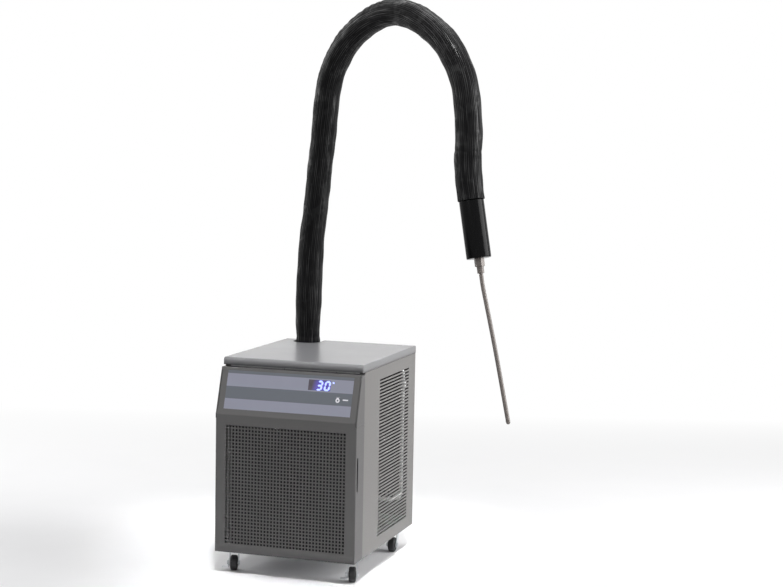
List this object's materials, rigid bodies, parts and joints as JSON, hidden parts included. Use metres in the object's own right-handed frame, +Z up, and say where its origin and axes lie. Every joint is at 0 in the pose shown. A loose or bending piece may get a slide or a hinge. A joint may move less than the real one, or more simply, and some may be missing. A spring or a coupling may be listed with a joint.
{
  "type": "immersion cooler",
  "caption": "Wheeled refrigeration cabinet with a grille front and louvred sides; an insulated hose arches up from its lid to a handle with a thin immersion probe.",
  "frame": {"origin": "on the floor, under the middle of the cabinet", "axes": "+Z up, -Y out of the grille face, +X to the right seen from the front"},
  "size_m": [0.7186, 0.471, 1.4235],
  "materials": {
    "case_paint": "satin",
    "lid_paint": "semi-gloss",
    "zinc": "satin",
    "steel": "satin",
    "polished_tube": "polished",
    "aluminium": "satin",
    "black_rubber": "matt",
    "black_gloss": "gloss",
    "black_plastic": "matt",
    "overlay_film": "semi-gloss",
    "window": "gloss",
    "black_shell": "semi-gloss",
    "grey_tread": "matt",
    "foam": "matt",
    "board": "satin"
  },
  "bodies": {
    "cabinet": {"base_pan": "zinc", "caster_plate_front_left": "steel", "caster_plate_front_right": "steel", "caster_plate_rear_left": "steel", "caster_plate_rear_right": "steel", "compressor": "black_shell", "compressor_bolts": "steel", "compressor_grommets": "black_rubber", "condenser_bends": "steel", "condenser_core": "aluminium", "contactor": "black_plastic", "control_board": "board", "control_box": "zinc", "cover_studs": "steel", "discharge_tube": "steel", "fan_bracket": "steel", "fan_motor": "black_shell", "fan_shroud": "black_plastic", "filter_drier": "steel", "heat_exchanger": "foam", "hose_bracket": "zinc", "hose_gland": "black_plastic", "hose_sleeve": "black_rubber", "left_side_panel": "case_paint", "lid": "lid_paint", "lid_edge_trim": "black_rubber", "liquid_line": "steel", "mains_inlet": "black_plastic", "pan_screws": "steel", "probe_fitting": "steel", "probe_handle": "black_gloss", "probe_rod": "steel", "rear_panel": "case_paint", "right_side_panel": "case_paint", "start_capacitor": "black_plastic", "suction_tube": "polished_tube", "terminal_cover": "black_plastic", "top_rail": "zinc"},
    "cover": {"front_cover": "case_paint", "label_overlay": "overlay_film", "display_window": "window", "display_module": "black_plastic", "key_switch": "black_plastic"},
    "key": {"power_key": "overlay_film"},
    "fan": {"fan_blades": "aluminium"},
    "swivel_front_left": {"caster_fork_front_left": "steel", "caster_axle_front_left": "steel"},
    "wheel_front_left": {"caster_wheel_front_left": "grey_tread"},
    "lever_front_left": {"brake_lever_front_left": "steel"},
    "swivel_front_right": {"caster_fork_front_right": "steel", "caster_axle_front_right": "steel"},
    "wheel_front_right": {"caster_wheel_front_right": "grey_tread"},
    "lever_front_right": {"brake_lever_front_right": "steel"},
    "swivel_rear_left": {"caster_fork_rear_left": "steel", "caster_axle_rear_left": "steel"},
    "wheel_rear_left": {"caster_wheel_rear_left": "grey_tread"},
    "swivel_rear_right": {"caster_fork_rear_right": "steel", "caster_axle_rear_right": "steel"},
    "wheel_rear_right": {"caster_wheel_rear_right": "grey_tread"}
  },
  "joints": [
    {"name": "cover_pull", "type": "slide", "parent": "cabinet", "child": "cover", "axis": [0, -1, 0], "range_m": [0, 0.06]},
    {"name": "power_key_press", "type": "slide", "parent": "cover", "child": "key", "axis": [0, 0.952, -0.306], "range_m": [0, 0.0008], "stiffness_N_per_m": 1500, "springref_m": -0.0006},
    {"name": "condenser_fan_spin", "type": "hinge", "parent": "cabinet", "child": "fan", "pos_m": [0, -0.1708, 0.2125], "axis": [0, 1, 0], "continuous": true},
    {"name": "caster_swivel_front_left", "type": "hinge", "parent": "cabinet", "child": "swivel_front_left", "pos_m": [-0.156, -0.1705, 0.047], "axis": [0, 0, 1], "continuous": true},
    {"name": "caster_roll_front_left", "type": "hinge", "parent": "swivel_front_left", "child": "wheel_front_left", "pos_m": [-0.15136, -0.18477, 0.019], "axis": [0.9511, 0.309, 0], "continuous": true},
    {"name": "brake_lever_front_left_press", "type": "hinge", "parent": "swivel_front_left", "child": "lever_front_left", "pos_m": [-0.15136, -0.18477, 0.019], "axis": [0.9511, 0.309, 0], "range_deg": [0, 25]},
    {"name": "caster_swivel_front_right", "type": "hinge", "parent": "cabinet", "child": "swivel_front_right", "pos_m": [0.156, -0.1705, 0.047], "axis": [0, 0, 1], "continuous": true},
    {"name": "caster_roll_front_right", "type": "hinge", "parent": "swivel_front_right", "child": "wheel_front_right", "pos_m": [0.16064, -0.18477, 0.019], "axis": [0.9511, 0.309, 0], "continuous": true},
    {"name": "brake_lever_front_right_press", "type": "hinge", "parent": "swivel_front_right", "child": "lever_front_right", "pos_m": [0.16064, -0.18477, 0.019], "axis": [0.9511, 0.309, 0], "range_deg": [0, 25]},
    {"name": "caster_swivel_rear_left", "type": "hinge", "parent": "cabinet", "child": "swivel_rear_left", "pos_m": [-0.156, 0.1585, 0.047], "axis": [0, 0, 1], "continuous": true},
    {"name": "caster_roll_rear_left", "type": "hinge", "parent": "swivel_rear_left", "child": "wheel_rear_left", "pos_m": [-0.15495, 0.14354, 0.019], "axis": [0.9976, 0.0698, 0], "continuous": true},
    {"name": "caster_swivel_rear_right", "type": "hinge", "parent": "cabinet", "child": "swivel_rear_right", "pos_m": [0.156, 0.1585, 0.047], "axis": [0, 0, 1], "continuous": true},
    {"name": "caster_roll_rear_right", "type": "hinge", "parent": "swivel_rear_right", "child": "wheel_rear_right", "pos_m": [0.15705, 0.14354, 0.019], "axis": [0.9976, 0.0698, 0], "continuous": true}
  ]
}
